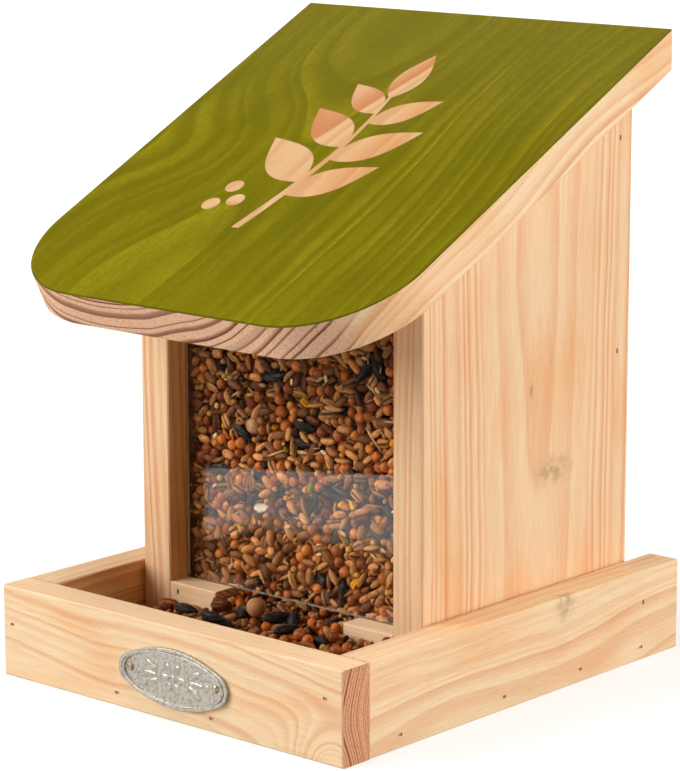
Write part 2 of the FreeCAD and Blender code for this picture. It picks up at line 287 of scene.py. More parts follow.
EARLY_WOOD = shade(249, 218, 177)
PALE_WOOD = shade(254, 228, 188)
LATE_WOOD = shade(234, 168, 120)
WARM_WOOD = shade(252, 228, 206)
FIBRE_SHADE = shade(232, 215, 200)
FLECK_BROWN = shade(122, 74, 44)
BLEMISH_GREY = shade(158, 132, 96)
# Painted shade, multiplied into inner faces: on the silo's side panels, and on the tray's left board.
PAINTED_INNER_SHADE = shade(236, 210, 168)
PAINTED_TRAY_SHADE = shade(255, 234, 196)
END_EARLY = shade(228, 172, 134)
END_LATE = shade(150, 80, 50)

growth_rings = make_growth_rings()
swell = make_swell()
blemish = make_blemish()
pine = make_pine()


def turned_place(tree, point, turn, origin):
    """Object coordinates in millimetres, measured from an origin and then turned."""
    return add(tree, "Mapping", {
        "Vector": point, "Location": -(turn @ origin), "Rotation": turn.to_euler(), "Scale": (1000.0,) * 3,
    }).outputs[0]


def grain_place(tree, point, along, pith):
    """Object coordinates in millimetres, turned so that the trunk's pith is the X axis."""
    x = Vector(along).normalized()
    z = (Vector((0, 0, 1)) if abs(x.z) < 0.9 else Vector((0, 1, 0))).cross(x).cross(x).normalized()
    return turned_place(tree, point, Matrix((x, z.cross(x), z)), Vector(pith))


def about(point, centre, reach):
    """The sockets that place a swelling or a blemish. Lengths are in millimetres."""
    return {"Point": point, "Centre": Vector(centre) * MM, "Reach": Vector(reach) * MM}


def lay_pine(tree, along, pith, ring_width, wave, seed, depth=1.0, early=None, knots=(), marks=(),
             ends=None):
    """Puts the pine group in a material for one board. Places are in millimetres in the CAD's frame."""
    end_early, end_late = ends or (END_EARLY, END_LATE)
    here = add(tree, "TexCoord").outputs
    shift = 0.0
    for centre, reach, amount in knots:
        bulge = use_group(tree, swell, {**about(here["Object"], centre, reach), "Amount": amount})
        shift = maths(tree, "ADD", bulge["Shift"], shift)
    stain = 0.0
    for centre, reach in marks:
        spot = use_group(tree, blemish, about(here["Object"], centre, reach))
        stain = maths(tree, "MAXIMUM", spot["Mask"], stain)
    return use_group(tree, pine, {
        "Place": grain_place(tree, here["Object"], along, pith),
        "Facing": here["Normal"], "Along": Vector(along).normalized(),
        "Ring Width": ring_width, "Wave": wave, "Swell": shift, "Seed": seed, "Depth": depth,
        "Early": early or EARLY_WOOD, "End Early": end_early, "End Late": end_late, "Blemish": stain,
    })


def pine_board(node, along, pith, ring_width, wave, seed, inner=None, **more):
    """Gives one CAD board its own piece of pine. An inner face, given by its normal, gets painted shade: a
    darker, more saturated tint.
    """
    material, tree, skin, _ = new_material("pine_" + node, 0.12)
    wood = lay_pine(tree, along, pith, ring_width, wave, seed, **more)
    colour = wood["Color"]
    # Painted shade on the inner face that the normal gives.
    if inner:
        normal, painted_shade = inner
        facing = measure(tree, "DOT_PRODUCT", add(tree, "TexCoord").outputs["Normal"], normal)
        colour = blend(tree, ease(tree, facing, 0.80, 0.95), colour, painted_shade, "MULTIPLY")
    paint(tree, skin, colour, wood["Roughness"])
    emboss(tree, skin, wood["Height"])
    dress(node, material)


def dress(node, material):
    """Puts one material on all of a CAD node."""
    mesh = boards[node].data
    mesh.materials.clear()
    mesh.materials.append(material)


pine_board("tray_front_board", (1, 0.02, -0.02), (0, 30, -20), 1.3, 6.0, 1.0, depth=0.55, early=PALE_WOOD,
           knots=[((80, -98, -3), (17, 40, 15), 11.0)])
pine_board("tray_right_board", (0.02, 1, 0.01), (10, 0, -20), 2.4, 9.0, 2.0, depth=0.6, early=PALE_WOOD,
           marks=[((85, 27, 33), (6, 9, 11))])
# Painted shade, darker and more saturated, on the tray's left board's inner face.
pine_board("tray_left_board", (0, 1, 0.02), (-20, 0, -30), 2.4, 6.0, 3.0, depth=0.9, early=PALE_WOOD,
           inner=((1, 0, 0), PAINTED_TRAY_SHADE))
pine_board("tray_floor", (0, 1, 0), (10, 0, -40), 2.6, 6.0, 4.0)
# Painted shade on the side panels' inner faces.
pine_board("right_side_panel", (0.008, 0.0, 1), (7.8, 28, 0), 3.0, 3.5, 5.0,
           marks=[((70, 38, 79), (6, 16, 8)), ((70, 24, 111), (5, 1.7, 5))], inner=((-1, 0, 0), PAINTED_INNER_SHADE))
pine_board("left_side_panel", (-0.02, 0.0, 1), (-10, 30, 0), 2.4, 5.0, 6.0, inner=((1, 0, 0), PAINTED_INNER_SHADE))
pine_board("back_panel", (0.02, 0, 1), (12, 20, 0), 2.6, 7.0, 7.0)
pine_board("left_window_block", (1, 0, 0), (0, -10, 60), 2.6, 4.0, 8.0, depth=0.2, early=PALE_WOOD)
pine_board("right_window_block", (1, 0, 0), (0, -14, 70), 2.6, 4.0, 9.0, depth=0.2, early=PALE_WOOD)


# Roof

def make_leaf():
    """A flat pointed leaf as a mask. Lengths are in millimetres on the roof's face."""
    tree, given, wanted = new_group(
        "leaf",
        {"Point": "Vector", "Foot": "Vector", "Turn": "Float", "Length": "Float", "Width": "Float"},
        {"Mask": "Float"},
    )
    local = vectors(tree, "SUBTRACT", given["Point"], given["Foot"])
    turned = add(tree, "VectorRotate", {"Vector": local, "Angle": given["Turn"]}, rotation_type="Z_AXIS")
    parts = add(tree, "SeparateXYZ", {0: turned.outputs[0]}).outputs
    along = add(tree, "Math", {0: parts[0], 1: given["Length"]}, operation="DIVIDE",
                use_clamp=True).outputs[0]
    half = maths(tree, "SINE", maths(tree, "MULTIPLY", maths(tree, "POWER", along, 0.8), math.pi))
    half = maths(tree, "MULTIPLY", maths(tree, "MULTIPLY", half, given["Width"]), 0.5)
    over = maths(tree, "SUBTRACT", maths(tree, "ABSOLUTE", parts[1]), half)
    link(tree, ease(tree, over, 0.05, -0.30), wanted["Mask"])
    return tree


def roof_point(tree, point):
    """Object coordinates in millimetres on the roof: X across, Y up the slope from the front edge."""
    low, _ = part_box("roof_board")
    turn = Matrix.Rotation(-ROOF_PITCH, 3, "X")
    return turned_place(tree, point, turn, Vector((0, low.y, low.z)) / MM)


def bare_sprig(tree, point):
    """A mask of the sprig that is left bare: a bent stem, leaves along it and three berries."""
    parts = add(tree, "SeparateXYZ", {0: point}).outputs
    share = maths(tree, "DIVIDE", maths(tree, "SUBTRACT", parts[1], SPRIG_FOOT), SPRIG_HEIGHT)
    bend = maths(tree, "MULTIPLY", maths(tree, "SINE", maths(tree, "MULTIPLY", share, 2.6)), SPRIG_BEND)
    middle = maths(tree, "ADD", bend, SPRIG_ACROSS)
    aside = maths(tree, "ABSOLUTE", maths(tree, "SUBTRACT", parts[0], middle))
    thick = ease(tree, share, 0.0, 1.0, 1.9, 0.8)
    stem = ease(tree, maths(tree, "SUBTRACT", aside, thick), 0.05, -0.30)
    mask = maths(tree, "MULTIPLY", stem, maths(tree, "COMPARE", share, 0.5, 0.5))
    for height, side, length in SPRIG_LEAVES:
        foot = (SPRIG_ACROSS + SPRIG_BEND * math.sin(2.6 * height), SPRIG_FOOT + SPRIG_HEIGHT * height, 0)
        one = use_group(tree, leaf, {
            "Point": point, "Foot": foot, "Turn": math.radians(-90 + side * 52), "Length": length,
            "Width": length * 0.45,
        })
        mask = maths(tree, "MAXIMUM", mask, one["Mask"])
    for across, height in SPRIG_BERRIES:
        centre = (SPRIG_ACROSS + across, SPRIG_FOOT + height, 0)
        flat = vectors(tree, "MULTIPLY", vectors(tree, "SUBTRACT", point, centre), (1, 1, 0))
        berry = ease(tree, measure(tree, "LENGTH", flat), SPRIG_BERRY, SPRIG_BERRY - 0.35)
        mask = maths(tree, "MAXIMUM", mask, berry)
    return mask


def green_stain(tree, wood, here, point, facing):
    """The stain's colour: lighter on late wood, uneven and dark on the front edge, with painted light that
    makes it lighter near the front and a grey painted sheen near the top.
    """
    up_slope = add(tree, "SeparateXYZ", {0: point}).outputs[1]
    speckle = noise(tree, here, 420.0, 2.0, 0.6)
    rounding = ease(tree, facing, 0.995, 0.93)
    edge = maths(tree, "MULTIPLY", rounding, ease(tree, up_slope, 60.0, 0.0, 0.1, 0.6))
    green = blend(tree, wood["Late"], STAIN_GREEN, STAIN_LIGHT)
    for share, colour in (
        (ease(tree, wood["Fibre"], 0.35, 0.65, 0.30, 0.0), STAIN_DARK),
        (ease(tree, wood["Tone"], 0.4, 0.7, 0.0, 0.5), STAIN_DARK),
        # Painted light: lighter and yellower towards the front edge.
        (ease(tree, up_slope, 60.0, -20.0, 0.0, 0.5), PAINTED_FRONT_LIGHT),
        # Painted sheen: greyer towards the top of the slope.
        (ease(tree, up_slope, 100.0, 200.0, 0.0, 0.5), PAINTED_TOP_SHEEN),
        (ease(tree, speckle, 0.40, 0.65, 0.0, 0.25), STAIN_DARK),
        (edge, STAIN_RIM),
    ):
        green = blend(tree, share, green, colour)
    return green


def stained_roof():
    """Pine, stained green on its upper face only, with a sprig left bare."""
    material, tree, skin, _ = new_material("stained_pine_roof", 0.03)
    slope = Vector((0, math.cos(ROOF_PITCH), math.sin(ROOF_PITCH)))
    upward = Vector((1, 0, 0)).cross(slope)
    wood = lay_pine(tree, slope, (-28, -146, 239), 3.9, 9.0, 11.0, depth=0.8, early=PALE_WOOD,
                    knots=ROOF_KNOTS, ends=(ROOF_END_EARLY, ROOF_END_LATE))
    here = add(tree, "TexCoord").outputs
    point = roof_point(tree, here["Object"])
    facing = measure(tree, "DOT_PRODUCT", here["Normal"], upward)
    frayed = maths(tree, "MULTIPLY", noise(tree, here["Object"], 900.0, 2.0, 0.6), 0.4)
    top = ease(tree, maths(tree, "ADD", facing, frayed), 0.55, 0.75)
    stained = maths(tree, "MULTIPLY", top, maths(tree, "SUBTRACT", 1.0, bare_sprig(tree, point)))
    green = green_stain(tree, wood, here["Object"], point, facing)
    bare = blend(tree, maths(tree, "MULTIPLY", wood["Late"], 0.35), BARE_SHADE, BARE_LATE)
    bare = blend(tree, top, wood["Color"], blend(tree, 1.0, wood["Color"], bare, "MULTIPLY"))
    paint(tree, skin, blend(tree, stained, bare, green), wood["Roughness"])
    emboss(tree, skin, wood["Height"])
    dress("roof_board", material)


ROOF_PITCH = math.radians(26.8)
ROOF_KNOTS = (((-60, -14, 193), (30, 42, 40), 12.0), ((-30, 72, 237), (40, 50, 30), -10.0),
              ((70, 30, 216), (30, 60, 40), 6.0))
ROOF_END_EARLY = shade(240, 200, 168)
ROOF_END_LATE = shade(112, 44, 22)
STAIN_GREEN = shade(113, 107, 3)
STAIN_LIGHT = shade(144, 137, 20)
STAIN_DARK = shade(98, 92, 2)
STAIN_RIM = shade(70, 70, 10)
# Painted light on the stain near the roof's front.
PAINTED_FRONT_LIGHT = shade(132, 124, 4)
# A grey painted sheen near the roof's top.
PAINTED_TOP_SHEEN = shade(118, 111, 38)
BARE_SHADE = shade(219, 204, 188)
BARE_LATE = shade(196, 160, 136)
SPRIG_ACROSS = -6.0
SPRIG_FOOT = 56.0
SPRIG_HEIGHT = 96.0
SPRIG_BEND = 8.0
SPRIG_LEAVES = ((0.24, 1, 37), (0.33, -1, 41), (0.49, 1, 37), (0.58, -1, 37), (0.75, 1, 30), (0.82, -1, 29),
                (0.93, 0, 31))
SPRIG_BERRIES = ((-13, 16), (-20, 24), (-22, 12))
SPRIG_BERRY = 3.9
leaf = make_leaf()
stained_roof()


# Seed mix

def turned_seed(name, profile, sides, crease=0.0):
    """A seed turned about X from a line of (along, out) points within a length and a width of two.
    A crease draws one line of its points inwards."""
    shape = bmesh.new()
    points = [shape.verts.new((along, 0.0, out)) for along, out in profile]
    edges = [shape.edges.new(pair) for pair in zip(points, points[1:])]
    bmesh.ops.spin(shape, geom=points + edges, cent=(0, 0, 0), axis=(1, 0, 0), angle=math.tau,
                   steps=sides, use_merge=True)
    bmesh.ops.remove_doubles(shape, verts=shape.verts, dist=0.001)
    line = [v for v in shape.verts if v.co.z > 0.3 and abs(v.co.y) < 0.01]
    for point in line:
        bmesh.ops.translate(shape, verts=[point], vec=(0.0, 0.0, -crease * point.co.z))
    return keep_shape(name, shape)


def round_seed(name, subdivisions):
    """A ball with a radius of one."""
    shape = bmesh.new()
    bmesh.ops.create_icosphere(shape, subdivisions=subdivisions, radius=1.0)
    return keep_shape(name, shape)


def broken_seed(name):
    """An angular piece of a large kernel."""
    shape = bmesh.new()
    bmesh.ops.create_cube(shape, size=1.7)
    top = [v for v in shape.verts if v.co.z > 0]
    bmesh.ops.scale(shape, vec=(0.7, 0.8, 1.0), verts=top)
    front = [v for v in shape.verts if v.co.x > 0]
    bmesh.ops.scale(shape, vec=(1.0, 0.55, 0.8), verts=front)
    bmesh.ops.bevel(shape, geom=shape.edges, offset=0.28, segments=1, profile=0.5, affect="EDGES",
                    material=-1)
    return keep_shape(name, shape)


def straw_piece(name):
    """A bent piece of stalk with sunken ends."""
    shape = bmesh.new()
    bmesh.ops.create_cone(shape, cap_ends=True, segments=6, radius1=1.0, radius2=0.8, depth=2.0,
                          matrix=Matrix.Rotation(math.pi / 2, 4, "Y"))
    bmesh.ops.bisect_plane(shape, geom=shape.verts[:] + shape.edges[:] + shape.faces[:],
                           plane_co=(0.2, 0, 0), plane_no=(1, 0, 0))
    middle = [v for v in shape.verts if abs(v.co.x - 0.2) < 0.01]
    bmesh.ops.translate(shape, verts=middle, vec=(0, 0, 0.7))
    ends = [f for f in shape.faces if abs(f.normal.x) > 0.9]
    bmesh.ops.inset_individual(shape, faces=ends, thickness=0.25, depth=-0.15)
    return keep_shape(name, shape)


GRAIN_LINE = ((-1, 0), (-0.90, 0.48), (-0.52, 0.92), (0.0, 1.0), (0.52, 0.88), (0.88, 0.50), (1, 0))
HUSK_LINE = ((-1, 0), (-0.7, 0.62), (-0.1, 1.0), (0.45, 0.75), (1, 0))
DROP_LINE = ((-1, 0), (-0.92, 0.42), (-0.6, 0.85), (-0.25, 1.0), (0.3, 0.80), (0.75, 0.38), (1, 0.0))


class Seed:
    """One kind of seed: its mesh, size in millimetres, share of the mix by number, and skin.
    A kind without a share only lies at set places."""

    def __init__(self, name, mesh, size, share, light, dark, rough, **finish):
        self.name = name
        self.mesh = mesh
        self.size = np.array(size, float)
        self.share = share
        self.skin = make_seed_skin(name, light, dark, rough, **finish)


def make_seed_skin(name, light, dark, rough, marks=None, marks_share=0.0, coat=0.0, crease=0.0):
    """A seed's colour: between two shades from seed to seed, mottled, darker at its tips, and with painted
    shade in its crease.
    """
    material, tree, skin, _ = new_material("seed_" + name, 0.15)
    tone = add(tree, "Attribute", attribute_name="seed_tone").outputs["Fac"]
    local = add(tree, "Attribute", attribute_name="seed_place").outputs["Vector"]
    place = vectors(tree, "ADD", local, vectors(tree, "MULTIPLY", tone, (91.0, 0.0, 0.0)))
    colour = blend(tree, tone, shade(*light), shade(*dark))
    mottle = noise(tree, place, 1.6, 2.0)
    colour = blend(tree, ease(tree, mottle, 0.40, 0.75, 0.0, 0.55), colour, shade(*dark))
    if marks:
        stripes = noise(tree, vectors(tree, "MULTIPLY", place, (0.25, 4.0, 4.0)), 1.0)
        colour = blend(tree, ease(tree, stripes, 0.56, 0.66, 0.0, marks_share), colour, shade(*marks))
    parts = add(tree, "SeparateXYZ", {0: local}).outputs
    deep = shade(*(part * 0.5 for part in dark))
    colour = blend(tree, ease(tree, maths(tree, "ABSOLUTE", parts[0]), 0.75, 1.0, 0.0, 0.5), colour, deep)
    # Painted shade in the crease.
    if crease:
        crease_shade = maths(tree, "MULTIPLY", ease(tree, maths(tree, "ABSOLUTE", parts[1]), 0.42, 0.10),
                     ease(tree, parts[2], 0.1, 0.35))
        colour = blend(tree, maths(tree, "MULTIPLY", crease_shade, crease), colour, deep)
    paint(tree, skin, colour, ease(tree, mottle, 0.3, 0.7, rough - 0.08, rough + 0.08))
    skin.inputs["Coat Weight"].default_value = coat
    skin.inputs["Coat Roughness"].default_value = 0.25
    emboss(tree, skin, noise(tree, place, 4.0, 3.0), 0.7, 0.20 * MM)
    return material


def make_seed_mix():
    """The kinds of seed seen behind the pane and in the tray."""
    grain = turned_seed("grain", GRAIN_LINE, 8, crease=0.42)
    husk = turned_seed("husk", HUSK_LINE, 6, crease=0.6)
    drop = turned_seed("drop", DROP_LINE, 8)
    small_ball = round_seed("small_ball", 2)
    large_ball = round_seed("large_ball", 3)
    chip = broken_seed("chip")
    stalk = straw_piece("stalk")
    return [
        Seed("wheat", grain, (7.0, 3.7, 3.2), 38, (230, 154, 88), (84, 40, 13), 0.50, crease=0.9),
        Seed("barley", husk, (8.4, 2.9, 2.4), 9, (214, 156, 88), (132, 80, 36), 0.55, crease=0.5),
        Seed("sorghum", small_ball, (4.7, 4.6, 4.2), 17, (222, 126, 52), (112, 46, 13), 0.36, coat=0.15),
        Seed("millet", small_ball, (2.6, 2.5, 2.3), 11, (222, 166, 82), (160, 92, 30), 0.38, coat=0.10),
        Seed("sunflower", drop, (13.5, 5.8, 4.4), 1.4, (36, 27, 21), (11, 8, 6), 0.48,
             marks=(120, 106, 92), marks_share=0.30),
        Seed("straw", stalk, (11.0, 0.9, 0.9), 4, (240, 200, 138), (164, 108, 52), 0.6),
        Seed("chaff", husk, (3.6, 2.0, 0.5), 10, (246, 214, 164), (160, 102, 50), 0.6),
        Seed("maize", chip, (6.0, 4.6, 3.4), 1.3, (238, 164, 40), (196, 108, 16), 0.45),
        Seed("pea", large_ball, (7.6, 7.5, 7.3), 0.15, (232, 184, 138), (190, 138, 92), 0.5),
        Seed("vetch", small_ball, (3.2, 3.2, 3.0), 3.0, (64, 40, 28), (26, 16, 12), 0.4),
        Seed("green_pod", husk, (6.5, 3.4, 2.6), 0.8, (152, 138, 44), (98, 88, 22), 0.5),
        Seed("pumpkin", drop, (9.6, 5.4, 2.2), 0.0, (222, 204, 182), (182, 156, 128), 0.5),
        Seed("kibble", chip, (11.0, 8.0, 7.0), 0.0, (122, 66, 32), (62, 30, 14), 0.6,
             marks=(156, 96, 54), marks_share=0.5),
    ]


class Crowd:
    """Seeds as rods of three balls, or one ball for a round seed. Everything is in millimetres."""

    def __init__(self, mix, kinds, places, ways):
        self.mix = mix
        self.kinds = kinds
        self.places = places
        self.ways = ways
        sizes = np.array([seed.size for seed in mix])[kinds]
        self.radius = (sizes[:, 1] + sizes[:, 2]) / 4
        self.reach = np.maximum(sizes[:, 0] / 2 - self.radius, 0.0)
        is_long = self.reach > 0.4
        owner = np.arange(len(kinds))
        self.owner = np.concatenate([owner, owner[is_long], owner[is_long]])
        self.offset = np.concatenate([np.zeros(len(kinds)), self.reach[is_long], -self.reach[is_long]])
        taper = np.where(self.offset == 0, 1.0, 0.78)
        self.ball_radius = self.radius[self.owner] * taper
        self.count = np.bincount(self.owner, minlength=len(kinds))
        self.spread = np.bincount(self.owner, self.offset ** 2, minlength=len(kinds))

    def balls(self):
        return self.places[self.owner] + self.ways[self.owner] * self.offset[:, None]

    def neighbours(self, slack):
        """Pairs of balls of different seeds that nearly touch."""
        balls = self.balls()
        tree = KDTree(len(balls))
        for number, place in enumerate(balls):
            tree.insert(place, number)
        tree.balance()
        widest = self.ball_radius.max()
        pairs = []
        for number, place in enumerate(balls):
            own = self.ball_radius[number] + slack
            for _, other, gap in tree.find_range(place, own + widest):
                if other > number and gap < own + self.ball_radius[other]:
                    pairs.append((number, other))
        pairs = np.array(pairs)
        return pairs[self.owner[pairs[:, 0]] != self.owner[pairs[:, 1]]]

    def push(self, moves):
        """Moves each seed by what its balls are pushed, and turns it."""
        size = len(self.places)
        shift = np.stack([np.bincount(self.owner, moves[:, axis], minlength=size) for axis in range(3)], 1)
        turn = np.stack([np.bincount(self.owner, moves[:, axis] * self.offset, minlength=size)
                         for axis in range(3)], 1)
        self.places += shift / self.count[:, None]
        long_ones = self.spread > 0
        self.ways[long_ones] += turn[long_ones] / self.spread[long_ones, None]
        self.ways /= np.linalg.norm(self.ways, axis=1)[:, None]

    def settle(self, rooms, rounds, fall):
        """Lets the seeds sink a little and pushes them out of each other and of the walls."""
        for step in range(rounds):
            if step % 12 == 0:
                pairs = self.neighbours(0.8)
                first, second = pairs.T
                limit = self.ball_radius[first] + self.ball_radius[second]
            self.places[:, 2] -= fall
            balls = self.balls()
            apart = balls[second] - balls[first]
            gap = np.linalg.norm(apart, axis=1) + 1e-9
            deep = np.clip(limit - gap, 0.0, None)
            push = apart * (0.5 * deep / gap)[:, None]
            moves = np.zeros_like(balls)
            for axis in range(3):
                moves[:, axis] += np.bincount(second, push[:, axis], minlength=len(balls))
                moves[:, axis] -= np.bincount(first, push[:, axis], minlength=len(balls))
            self.push(moves * 0.7)
            balls = self.balls()
            self.push(inside(rooms, balls, self.ball_radius) - balls)


def inside(rooms, balls, radius):
    """The nearest place for each ball within one of the rooms."""
    best, least = None, None
    for low, high in rooms:
        fitted = np.clip(balls, np.array(low) + radius[:, None], np.array(high) - radius[:, None])
        miss = np.linalg.norm(fitted - balls, axis=1)
        if best is None:
            best, least = fitted, miss
        else:
            closer = miss < least
            best[closer], least[closer] = fitted[closer], miss[closer]
    return best


def fill(chance, mix, low, high, level):
    """Random seeds in a box, as many as pack it, where they lie below a level given by (x, y)."""
    shares = np.array([seed.share for seed in mix])
    shares = shares / shares.sum()
    volumes = np.array([seed.size.prod() for seed in mix]) * math.pi / 6
    low, high = np.array(low, float), np.array(high, float)
    number = int((high - low).prod() * PACKING / (shares @ volumes))
    kinds = chance.choice(len(mix), number, p=shares)
    places = low + chance.random((number, 3)) * (high - low)
    ways = chance.normal(size=(number, 3)) * (1.0, 1.0, 0.6)
    kept = places[:, 2] < level(places[:, 0], places[:, 1])
    return kinds[kept], places[kept], ways[kept] / np.linalg.norm(ways[kept], axis=1)[:, None]


def tray_level(x, y):
    """Height of the seed in the tray: it falls away at the left end, and lies near the rim elsewhere."""
    left_end = 12.0 * np.clip((-58 - x) / 10, 0, 1)
    return 23.0 + 4.5 * np.clip((x + 58) / 60, 0, 1) + 1.0 * np.clip((y + 62) / 30, 0, 1) - left_end


def set_by_hand(mix):
    """The large seeds that lie at set places near the outlet and behind the pane."""
    number = {seed.name: place for place, seed in enumerate(mix)}
    kinds = [number[name] for name, _, _ in LARGE_SEEDS]
    places = np.array([place for _, place, _ in LARGE_SEEDS], float)
    ways = np.array([way for _, _, way in LARGE_SEEDS], float)
    return kinds, places, ways / np.linalg.norm(ways, axis=1)[:, None]


def silo_space():
    """Inside the silo, in millimetres: half its width, the pane's back, the back panel and the floor."""
    panel_low, _ = in_mm(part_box("left_side_panel"))
    _, pane_high = in_mm(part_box("front_window"))
    back_low, _ = in_mm(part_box("back_panel"))
    _, floor_high = in_mm(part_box("tray_floor"))
    return -panel_low.x - BOARD, pane_high.y, back_low.y, floor_high.z


def make_crowd():
    """All seeds that can be seen, packed together."""
    chance = np.random.default_rng(9)
    mix = make_seed_mix()
    wide, front, rear, ground = silo_space()
    pane_low, _ = in_mm(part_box("front_window"))
    block_low, _ = in_mm(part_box("right_window_block"))
    _, board_high = in_mm(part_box("tray_front_board"))
    outlet, block_front = block_low.x, block_low.y
    tray_wide, tray_front = board_high.x - BOARD, board_high.y
    core_front, foot = front + FRONT_DEPTH, pane_low.z

    def silo_top(x, y):
        return SILO_LEVEL + TOP_WAVE * np.sin((y - front) * 0.05)

    parts = [
        fill(chance, mix, (-wide, front, ground), (wide, core_front, SILO_LEVEL), lambda x, y: SILO_LEVEL),
        fill(chance, mix, (-wide, core_front, CORE_TOP), (wide, rear, SILO_LEVEL + TOP_WAVE), silo_top),
        fill(chance, mix, (-outlet, block_front, ground), (outlet, front, foot), lambda x, y: foot),
        fill(chance, mix, (-tray_wide, tray_front, ground), (tray_wide, block_front, PILE_TOP), tray_level),
        set_by_hand(mix),
    ]
    kinds, places, ways = (np.concatenate(group) for group in zip(*parts))
    crowd = Crowd(mix, kinds, places, ways)
    rooms = [
        ((-wide, front, ground), (wide, core_front, SILO_LEVEL + HEADROOM)),
        ((-wide, front, CORE_TOP), (wide, rear, SILO_LEVEL + HEADROOM)),
        ((-outlet, tray_front, ground), (outlet, core_front, foot)),
        ((-outlet, tray_front, ground), (outlet, pane_low.y, foot + 1.5)),
        ((-tray_wide, tray_front, ground), (tray_wide, block_front, PILE_TOP + HEADROOM)),
    ]
    crowd.settle(rooms, ROUNDS, SINK)
    return crowd


def pour(crowd, name, chosen, seed):
    """One piece from all the chosen seeds of one kind, each turned and placed."""
    chance = np.random.default_rng(11)
    numbers = np.flatnonzero(chosen)
    if not len(numbers):
        return
    shape = bmesh.new()
    half = Matrix.Diagonal((*(seed.size / 2), 1.0))
    places, tones = [], []
    local = np.array([v.co for v in seed.mesh.vertices])
    for number in numbers:
        roll = Matrix.Rotation(chance.random() * math.tau, 4, "X")
        size = Matrix.Scale(chance.uniform(0.88, 1.08), 4)
        way = Vector(crowd.ways[number]).to_track_quat("X", "Z").to_matrix().to_4x4()
        spot = Matrix.Translation(Vector(crowd.places[number]))
        one = seed.mesh.copy()
        one.transform(Matrix.Scale(MM, 4) @ spot @ way @ roll @ size @ half)
        shape.from_mesh(one)
        bpy.data.meshes.remove(one)
        places.append(local)
        tones.append(np.full(len(local), chance.random()))
    for face in shape.faces:
        face.smooth = seed.name not in ("maize", "kibble")
    mesh = keep_mesh(name, shape)
    tone = mesh.attributes.new("seed_tone", "FLOAT", "POINT")
    tone.data.foreach_set("value", np.concatenate(tones))
    place = mesh.attributes.new("seed_place", "FLOAT_VECTOR", "POINT")
    place.data.foreach_set("vector", np.concatenate(places).ravel())
    piece = show(name, mesh, seed.skin)
    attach(piece, "feeder")


def pour_all(crowd):
    """Makes the seed pieces: one for each kind behind the pane, on top of the silo and in the tray."""
    _, front, _, _ = silo_space()
    in_tray = crowd.places[:, 1] < front
    on_top = ~in_tray & (crowd.places[:, 1] > front + FRONT_DEPTH)
    heaps = {"_in_tray": in_tray, "_on_top": on_top, "_behind_pane": ~in_tray & ~on_top}
    for number, seed in enumerate(crowd.mix):
        for heap, chosen in heaps.items():
            pour(crowd, seed.name + heap, (crowd.kinds == number) & chosen, seed)


def packed_middle(skin):
    """The bed of seed deeper inside the silo, which only its loose outer seeds let one glimpse."""
    wide, front, rear, ground = silo_space()
    side = wide - CLEAR
    low = Vector((-side, front + FRONT_DEPTH - OVERLAP, ground + CLEAR))
    high = Vector((side, rear - CLEAR, CORE_TOP + OVERLAP))
    shape = bmesh.new()
    size = Matrix.Diagonal((*(high - low), 1.0))
    bmesh.ops.create_cube(shape, size=1.0, matrix=Matrix.Translation((low + high) / 2) @ size)
    bmesh.ops.subdivide_edges(shape, edges=shape.edges, cuts=24, use_grid_fill=True)
    chance = np.random.default_rng(5)
    for point in shape.verts:
        point.co += Vector(chance.uniform(-0.8, 0.8, 3))
        point.co = Vector(np.clip(point.co, low, high))
    bmesh.ops.scale(shape, vec=(MM,) * 3, verts=shape.verts)
    piece = show("packed_seed", keep_shape("packed_seed", shape), skin)
    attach(piece, "feeder")


def shadow_strips_in_corners(skin):
    """Thin dark strips where the pane meets the side panels: painted shadow in the gaps there."""
    wide, front, _, _ = silo_space()
    pane_low, _ = in_mm(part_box("front_window"))
    side, back, foot = wide - CLEAR, front + CLEAR, pane_low.z + 2 * CLEAR
    size = Vector((STRIP_DEPTH, STRIP_DEPTH, SILO_LEVEL - STRIP_DROP - foot))
    chance = np.random.default_rng(3)
    shape = bmesh.new()
    for hand in (-1, 1):
        middle = Vector((hand * (side - size.x / 2), back + size.y / 2, foot + size.z / 2))
        block = bmesh.ops.create_cube(shape, size=1.0,
                                      matrix=Matrix.Translation(middle) @ Matrix.Diagonal((*size, 1.0)))
        edges = dict.fromkeys(edge for vert in block["verts"] for edge in vert.link_edges)
        uprights = [edge for edge in edges if abs(edge.verts[0].co.z - edge.verts[1].co.z) > 1]
        cuts = bmesh.ops.subdivide_edges(shape, edges=uprights, cuts=60, use_grid_fill=True)
        inner = dict.fromkeys(item for item in cuts["geom_inner"] if isinstance(item, bmesh.types.BMVert))
        for point in inner:
            point.co.x -= hand * chance.uniform(0.0, STRIP_DEPTH / 3) * (abs(point.co.x) < side - 0.1)
            point.co.y += chance.uniform(0.0, STRIP_DEPTH / 3) * (point.co.y > back + 0.1)
    bmesh.ops.scale(shape, vec=(MM,) * 3, verts=shape.verts)
    piece = show("corner_shadow_strips", keep_shape("corner_shadow_strips", shape), skin)
    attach(piece, "feeder")


def packed_skin():
    """Deep seed in the dark: brown mottling at the seeds' own size, in browns darkened as painted shade."""
    material, tree, skin, _ = new_material("packed_seed_painted_shade", 0.05)
    here = add(tree, "TexCoord").outputs["Object"]
    cells = add(tree, "TexVoronoi", {"Vector": here, "Scale": 260.0}).outputs
    tone = add(tree, "SeparateColor", {0: cells["Color"]}).outputs[0]
    # Seed browns darkened as painted shade.
    colour = blend(tree, tone, shade(92, 54, 30), shade(40, 22, 12))
    paint(tree, skin, colour, ease(tree, tone, 0.0, 1.0, 0.6, 0.9))
    emboss(tree, skin, cells["Distance"], 0.8, 1.0 * MM)
    return material


